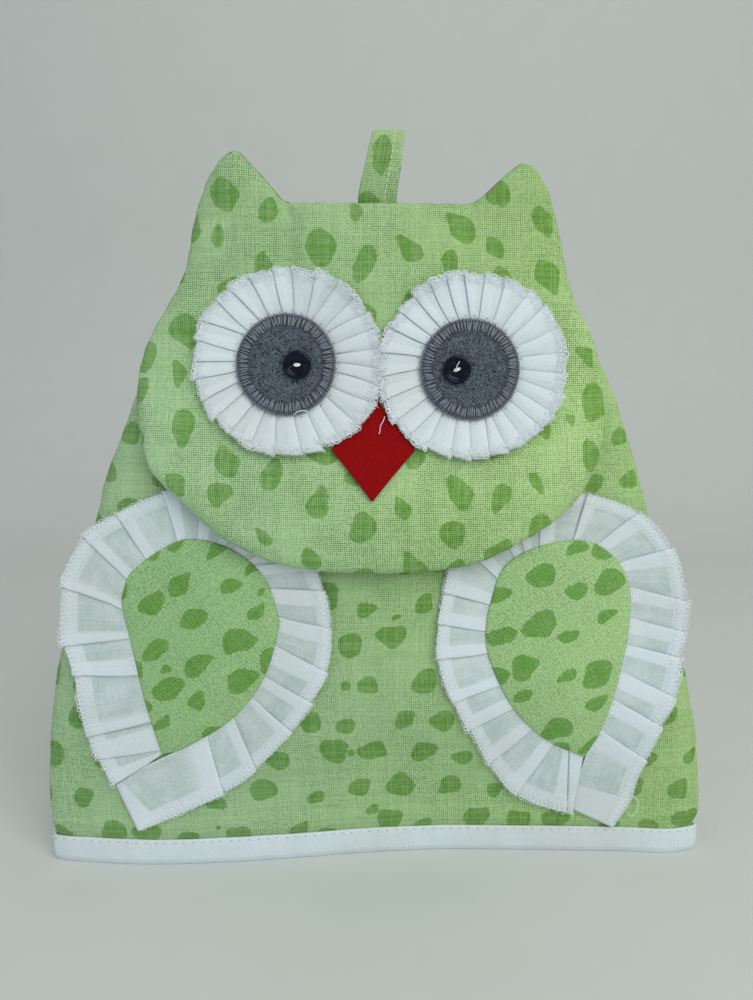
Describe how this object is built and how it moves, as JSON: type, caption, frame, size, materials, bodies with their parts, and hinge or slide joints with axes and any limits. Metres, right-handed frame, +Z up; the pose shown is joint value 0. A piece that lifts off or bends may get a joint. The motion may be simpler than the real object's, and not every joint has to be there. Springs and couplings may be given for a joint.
{
  "type": "tea cosy",
  "caption": "Padded tea cosy shaped as an owl, with a separate head, pleated ruffles round the eyes and wings, a felt beak, a bound hem and a hanging loop.",
  "frame": {"origin": "middle of the bounding box at the level of the hem's underside, where the cosy stands", "axes": "+Z up from the hem to the hanging loop, +Y from the owl's face to its back, +X to the viewer's right"},
  "size_m": [0.3044, 0.0598, 0.3251],
  "materials": {
    "green_cotton": "plain-weave cotton print, matt",
    "white_cotton": "plain-weave cotton, pleated, matt",
    "grey_felt": "wool felt, stitched edge, matt",
    "red_felt": "wool felt, matt",
    "black_button": "polished"
  },
  "bodies": {
    "root": {"body_front": "green_cotton", "body_back": "green_cotton", "hem_binding": "white_cotton", "head": "green_cotton", "hanging_loop": "green_cotton", "eye_ruffle_left": "white_cotton", "eye_ruffle_right": "white_cotton", "eye_felt_left": "grey_felt", "eye_felt_right": "grey_felt", "button_left": "black_button", "button_right": "black_button", "beak": "red_felt", "wing_left": "green_cotton", "wing_right": "green_cotton", "wing_ruffle_left": "white_cotton", "wing_ruffle_right": "white_cotton"}
  },
  "joints": []
}
